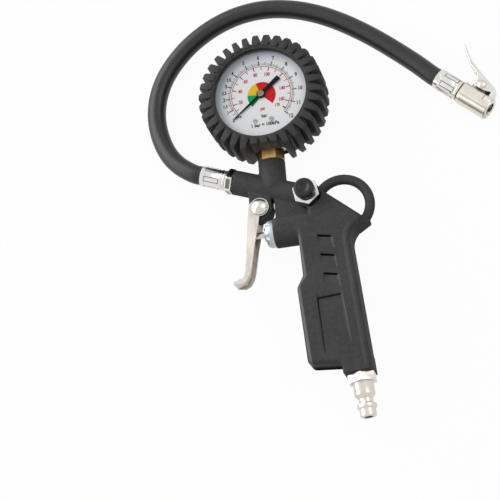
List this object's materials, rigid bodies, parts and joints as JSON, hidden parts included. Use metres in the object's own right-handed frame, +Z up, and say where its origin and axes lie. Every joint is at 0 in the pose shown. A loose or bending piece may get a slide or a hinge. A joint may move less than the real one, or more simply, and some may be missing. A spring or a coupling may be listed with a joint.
{
  "type": "tyre inflator with gauge",
  "caption": "Pistol tyre inflator: cast body, trigger valve, booted dial gauge, bleed button, rubber hose with clip-on chuck.",
  "frame": {"origin": "centre of the gauge boot's back face, on the table the inflator lies on", "axes": "+Z up through the dial, +Y from the grip towards the gauge, +X to the rear of the gun"},
  "size_m": [0.2236, 0.2852, 0.0327],
  "materials": {
    "cast_black": "fine textured black coating on a casting",
    "nickel": "bright nickel plating",
    "zinc": "bright zinc plating",
    "brass": "turned brass",
    "seal_rubber": "nitrile",
    "spring_steel": "drawn wire",
    "button_rubber": "moulded, satin",
    "case_steel": "pressed steel",
    "boot_rubber": "moulded, satin",
    "bezel_black": "black",
    "lens": "clear flat window",
    "dial_white": "printed plate",
    "pointer_black": "matt black",
    "hose_rubber": "smooth, satin"
  },
  "bodies": {
    "gun": {"gun_body": "cast_black", "gland_nut": "zinc", "stem_seal": "seal_rubber", "valve_cage": "brass", "valve_spring": "spring_steel", "inlet_plug": "nickel", "inlet_seal": "seal_rubber", "trigger_rivet": "nickel", "bleed_nut": "nickel", "bleed_spring": "spring_steel", "gauge_stem": "brass", "gauge_case": "case_steel", "gauge_boot": "boot_rubber", "bezel_ring": "bezel_black", "lens_spacer": "bezel_black", "gauge_lens": "lens", "dial_plate": "dial_white", "dial_screws": "spring_steel", "stop_pin": "brass", "bourdon_tube": "brass", "movement_frame": "brass", "hose_nut": "nickel", "gun_ferrule": "nickel", "hose": "hose_rubber", "chuck_ferrule": "nickel", "chuck_barb": "brass", "chuck_body": "nickel", "chuck_seal": "seal_rubber", "chuck_probe": "brass", "chuck_rivet": "nickel", "lever_spring": "spring_steel"},
    "trigger": {"trigger": "nickel"},
    "valve": {"valve_stem": "nickel", "poppet_seal": "seal_rubber"},
    "bleed": {"bleed_pin": "spring_steel", "bleed_seal": "seal_rubber", "bleed_button": "button_rubber"},
    "pointer": {"pointer": "pointer_black", "pointer_hub": "brass", "pinion_shaft": "spring_steel"},
    "sector": {"sector_gear": "brass"},
    "lever": {"chuck_lever": "nickel"}
  },
  "joints": [
    {"name": "trigger_pull", "type": "hinge", "parent": "gun", "child": "trigger", "pos_m": [-0.0089, -0.0711, 0.011], "axis": [0, 0, 1], "range_deg": [0, 9], "stiffness_Nm_per_rad": 0.4, "springref_deg": -5.73},
    {"name": "valve_slide", "type": "slide", "parent": "gun", "child": "valve", "axis": [1, 0, 0], "range_m": [0, 0.0025], "deforming": ["valve_spring"]},
    {"name": "bleed_press", "type": "slide", "parent": "gun", "child": "bleed", "axis": [0, 0, -1], "range_m": [0, 0.002], "stiffness_N_per_m": 900, "springref_m": -0.002, "deforming": ["bleed_spring"]},
    {"name": "pointer_turn", "type": "hinge", "parent": "gun", "child": "pointer", "pos_m": [0, 0, 0.02], "axis": [0, 0, -1], "range_deg": [0, 263]},
    {"name": "sector_swing", "type": "hinge", "parent": "gun", "child": "sector", "pos_m": [0.01, -0.01732, 0.017], "axis": [0, 0, 1], "range_deg": [0, 29.2], "stiffness_Nm_per_rad": 0.002, "springref_deg": -2.86},
    {"name": "lever_press", "type": "hinge", "parent": "gun", "child": "lever", "pos_m": [0.13598, -0.01085, 0.0067], "axis": [0, 0, 1], "range_deg": [0, 10], "stiffness_Nm_per_rad": 0.3, "springref_deg": -8.59, "deforming": ["lever_spring"]}
  ],
  "couplings": [
    {"joint": "valve_slide", "follows": "trigger_pull", "m_per_rad": 0.0159},
    {"joint": "pointer_turn", "follows": "sector_swing", "ratio": 9}
  ]
}
